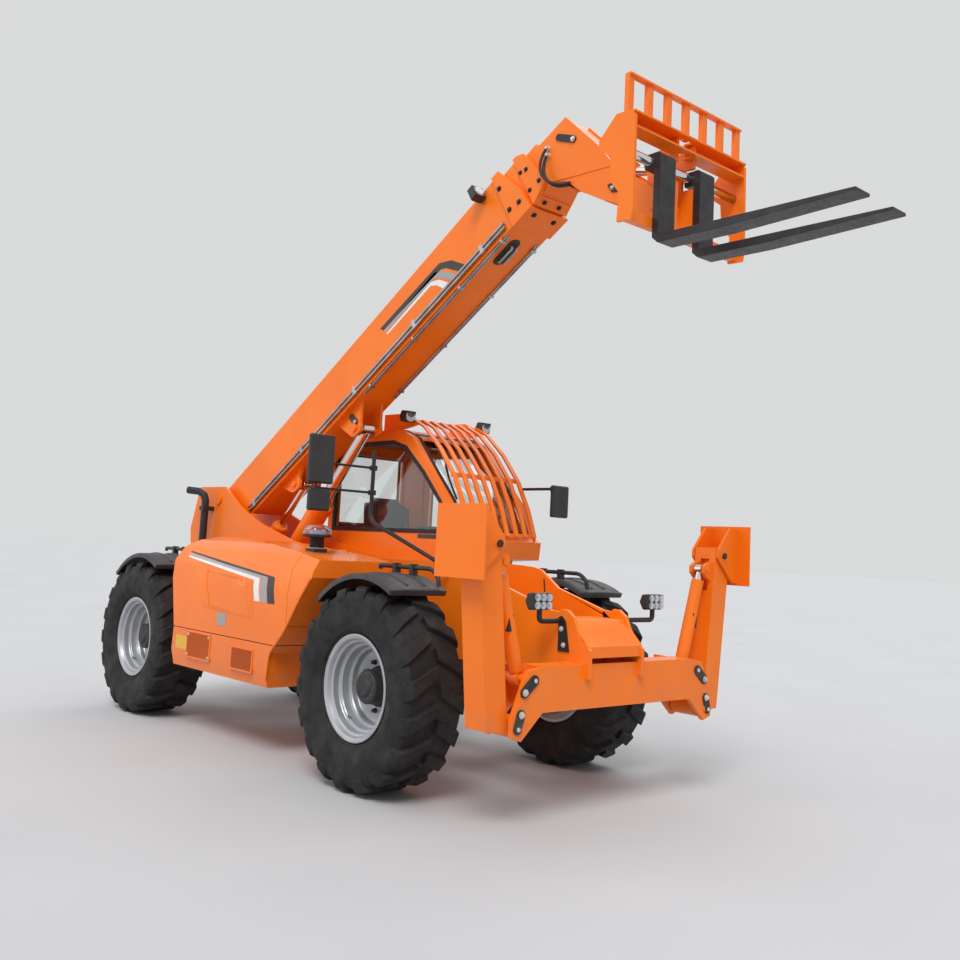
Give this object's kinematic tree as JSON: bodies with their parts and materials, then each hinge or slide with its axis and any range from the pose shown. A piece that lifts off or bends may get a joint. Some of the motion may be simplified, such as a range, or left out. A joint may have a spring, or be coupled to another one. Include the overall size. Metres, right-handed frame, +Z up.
{
  "type": "telehandler",
  "caption": "Telescopic handler with raised boom, pallet forks, side cab behind a curved guard, engine pod and folded front stabilisers.",
  "frame": {"origin": "middle of the machine's box, on the ground under the tyres", "axes": "+X forward towards the fork tips, +Y to the machine's left, the cab side, +Z up"},
  "size_m": [6.8822, 2.464, 4.4185],
  "materials": {
    "paint": "satin orange paint",
    "paint_black": "satin black paint",
    "tyre": "black rubber",
    "rim": "silver paint",
    "plastic_orange": "orange moulded panel",
    "plastic_dark": "dark grey moulded plastic",
    "glass": "clear glass",
    "chrome": "hard chromed rod",
    "cast": "painted casting",
    "steel": "bare steel",
    "fabric": "seat cover"
  },
  "bodies": {
    "chassis": {"chassis_frame": "paint", "stabiliser_beam": "paint", "front_axle": "cast", "rear_axle": "cast", "engine_skirt": "plastic_orange", "engine_block": "cast", "cab_frame": "paint", "cab_glass": "glass", "driver_seat": "fabric", "steering_console": "plastic_dark", "cab_guard": "paint", "roof_lamps": "paint_black", "fuel_tank": "plastic_dark", "headlamps": "paint_black", "mirrors": "paint_black", "exhaust_stack": "steel"},
    "outer_boom": {"boom_outer": "paint", "boom_lamp": "paint_black", "boom_pipes": "steel"},
    "middle_boom": {"boom_middle": "paint"},
    "inner_boom": {"boom_inner": "paint"},
    "lift_barrel": {"lift_barrel": "paint"},
    "lift_rod": {"lift_rod": "chrome"},
    "levelling_barrel": {"levelling_barrel": "paint"},
    "levelling_rod": {"levelling_rod": "chrome"},
    "tilt_barrel": {"tilt_barrel": "paint"},
    "tilt_rod": {"tilt_rod": "chrome"},
    "carriage": {"carriage": "paint", "forks": "paint_black"},
    "hood": {"engine_hood": "plastic_orange", "beacon": "plastic_dark"},
    "door": {"cab_door": "paint", "cab_door_glass": "glass"},
    "knuckle_front_right": {"knuckle_front_right": "cast", "mudguard_front_right": "plastic_dark"},
    "wheel_front_right": {"tyre_front_right": "tyre", "rim_front_right": "rim"},
    "knuckle_front_left": {"knuckle_front_left": "cast", "mudguard_front_left": "plastic_dark"},
    "wheel_front_left": {"tyre_front_left": "tyre", "rim_front_left": "rim"},
    "knuckle_rear_right": {"knuckle_rear_right": "cast", "mudguard_rear_right": "plastic_dark"},
    "wheel_rear_right": {"tyre_rear_right": "tyre", "rim_rear_right": "rim"},
    "knuckle_rear_left": {"knuckle_rear_left": "cast", "mudguard_rear_left": "plastic_dark"},
    "wheel_rear_left": {"tyre_rear_left": "tyre", "rim_rear_left": "rim"},
    "leg_right": {"stabiliser_leg_right": "paint"},
    "foot_right": {"stabiliser_foot_right": "paint"},
    "leg_barrel_right": {"stabiliser_barrel_right": "paint"},
    "leg_rod_right": {"stabiliser_rod_right": "chrome"},
    "leg_left": {"stabiliser_leg_left": "paint"},
    "foot_left": {"stabiliser_foot_left": "paint"},
    "leg_barrel_left": {"stabiliser_barrel_left": "paint"},
    "leg_rod_left": {"stabiliser_rod_left": "chrome"}
  },
  "joints": [
    {"name": "boom_lift", "type": "hinge", "parent": "chassis", "child": "outer_boom", "pos_m": [-2.841, -0.09, 1.87], "axis": [0, -1, 0], "range_deg": [-36, 34]},
    {"name": "boom_extend", "type": "slide", "parent": "outer_boom", "child": "middle_boom", "axis": [0.8508, 0, 0.5255], "range_m": [0, 2.15]},
    {"name": "boom_extend_inner", "type": "slide", "parent": "middle_boom", "child": "inner_boom", "axis": [0.8508, 0, 0.5255], "range_m": [0, 2.15]},
    {"name": "lift_barrel_swing", "type": "hinge", "parent": "chassis", "child": "lift_barrel", "pos_m": [-2.51, -0.09, 0.748], "axis": [0, -1, 0], "range_deg": [-26.84, 25.36]},
    {"name": "lift_rod_slide", "type": "slide", "parent": "lift_barrel", "child": "lift_rod", "axis": [0.6773, 0, 0.7357], "range_m": [-0.6994, 0.6606]},
    {"name": "levelling_barrel_swing", "type": "hinge", "parent": "chassis", "child": "levelling_barrel", "pos_m": [-2.911, -0.09, 0.9], "axis": [0, -1, 0], "range_deg": [-19.89, 18.8]},
    {"name": "levelling_rod_slide", "type": "slide", "parent": "levelling_barrel", "child": "levelling_rod", "axis": [0.7119, 0, 0.7023], "range_m": [-0.4258, 0.4022]},
    {"name": "carriage_tilt", "type": "hinge", "parent": "inner_boom", "child": "carriage", "pos_m": [2.05218, -0.09, 3.65092], "axis": [0, 1, 0], "range_deg": [-45, 85]},
    {"name": "tilt_barrel_swing", "type": "hinge", "parent": "inner_boom", "child": "tilt_barrel", "pos_m": [1.15168, -0.09, 4.08323], "axis": [0, 1, 0], "range_deg": [-0.38, 0.7]},
    {"name": "tilt_rod_slide", "type": "slide", "parent": "tilt_barrel", "child": "tilt_rod", "axis": [0.9801, 0, -0.1983], "range_m": [-0.154, 0.29]},
    {"name": "steer_front_right", "type": "hinge", "parent": "chassis", "child": "knuckle_front_right", "pos_m": [0.489, -0.73, 0.638], "axis": [0, 0, 1], "range_deg": [-35, 35]},
    {"name": "spin_front_right", "type": "hinge", "parent": "knuckle_front_right", "child": "wheel_front_right", "pos_m": [0.489, -0.889, 0.638], "axis": [0, 1, 0], "continuous": true},
    {"name": "steer_front_left", "type": "hinge", "parent": "chassis", "child": "knuckle_front_left", "pos_m": [0.489, 0.73, 0.638], "axis": [0, 0, 1], "range_deg": [-35, 35]},
    {"name": "spin_front_left", "type": "hinge", "parent": "knuckle_front_left", "child": "wheel_front_left", "pos_m": [0.489, 0.889, 0.638], "axis": [0, 1, 0], "continuous": true},
    {"name": "steer_rear_right", "type": "hinge", "parent": "chassis", "child": "knuckle_rear_right", "pos_m": [-2.8, -0.73, 0.638], "axis": [0, 0, 1], "range_deg": [-35, 35]},
    {"name": "spin_rear_right", "type": "hinge", "parent": "knuckle_rear_right", "child": "wheel_rear_right", "pos_m": [-2.8, -0.889, 0.638], "axis": [0, 1, 0], "continuous": true},
    {"name": "steer_rear_left", "type": "hinge", "parent": "chassis", "child": "knuckle_rear_left", "pos_m": [-2.8, 0.73, 0.638], "axis": [0, 0, 1], "range_deg": [-35, 35]},
    {"name": "spin_rear_left", "type": "hinge", "parent": "knuckle_rear_left", "child": "wheel_rear_left", "pos_m": [-2.8, 0.889, 0.638], "axis": [0, 1, 0], "continuous": true},
    {"name": "stabiliser_swing_right", "type": "hinge", "parent": "chassis", "child": "leg_right", "pos_m": [1.616, -0.853, 0.583], "axis": [1, 0, 0], "range_deg": [0, 107.5]},
    {"name": "foot_swivel_right", "type": "hinge", "parent": "leg_right", "child": "foot_right", "pos_m": [1.616, -1.048, 1.577], "axis": [-1, 0, 0], "range_deg": [-10, 30]},
    {"name": "stabiliser_barrel_swing_right", "type": "hinge", "parent": "chassis", "child": "leg_barrel_right", "pos_m": [1.616, -0.75, 0.83], "axis": [1, 0, 0], "range_deg": [0, 106.62]},
    {"name": "stabiliser_rod_slide_right", "type": "slide", "parent": "leg_barrel_right", "child": "leg_rod_right", "axis": [0, -0.2873, 0.9578], "range_m": [0, 0.431]},
    {"name": "stabiliser_swing_left", "type": "hinge", "parent": "chassis", "child": "leg_left", "pos_m": [1.616, 0.853, 0.583], "axis": [-1, 0, 0], "range_deg": [0, 107.5]},
    {"name": "foot_swivel_left", "type": "hinge", "parent": "leg_left", "child": "foot_left", "pos_m": [1.616, 1.048, 1.577], "axis": [1, 0, 0], "range_deg": [-10, 30]},
    {"name": "stabiliser_barrel_swing_left", "type": "hinge", "parent": "chassis", "child": "leg_barrel_left", "pos_m": [1.616, 0.75, 0.83], "axis": [-1, 0, 0], "range_deg": [0, 106.62]},
    {"name": "stabiliser_rod_slide_left", "type": "slide", "parent": "leg_barrel_left", "child": "leg_rod_left", "axis": [0, 0.2873, 0.9578], "range_m": [0, 0.431]},
    {"name": "hood_lift", "type": "hinge", "parent": "chassis", "child": "hood", "pos_m": [-1.211, -0.45, 1.47], "axis": [-1, 0, 0], "range_deg": [0, 50]},
    {"name": "door_swing", "type": "hinge", "parent": "chassis", "child": "door", "pos_m": [-1.461, 1.021, 1.7], "axis": [0, 0, 1], "range_deg": [0, 100]}
  ],
  "couplings": [
    {"joint": "boom_extend_inner", "follows": "boom_extend", "ratio": 1},
    {"joint": "lift_barrel_swing", "follows": "boom_lift", "ratio": 0.74},
    {"joint": "lift_rod_slide", "follows": "boom_lift", "m_per_rad": 1.1115},
    {"joint": "levelling_barrel_swing", "follows": "boom_lift", "ratio": 0.547},
    {"joint": "levelling_rod_slide", "follows": "boom_lift", "m_per_rad": 0.67609},
    {"joint": "tilt_barrel_swing", "follows": "carriage_tilt", "ratio": 0.008},
    {"joint": "tilt_rod_slide", "follows": "carriage_tilt", "m_per_rad": 0.19481},
    {"joint": "steer_front_right", "follows": "steer_front_left", "ratio": 1},
    {"joint": "steer_rear_right", "follows": "steer_rear_left", "ratio": 1},
    {"joint": "stabiliser_barrel_swing_right", "follows": "stabiliser_swing_right", "ratio": 0.99},
    {"joint": "stabiliser_rod_slide_right", "follows": "stabiliser_swing_right", "m_per_rad": 0.22918},
    {"joint": "stabiliser_barrel_swing_left", "follows": "stabiliser_swing_left", "ratio": 0.99},
    {"joint": "stabiliser_rod_slide_left", "follows": "stabiliser_swing_left", "m_per_rad": 0.22918}
  ]
}
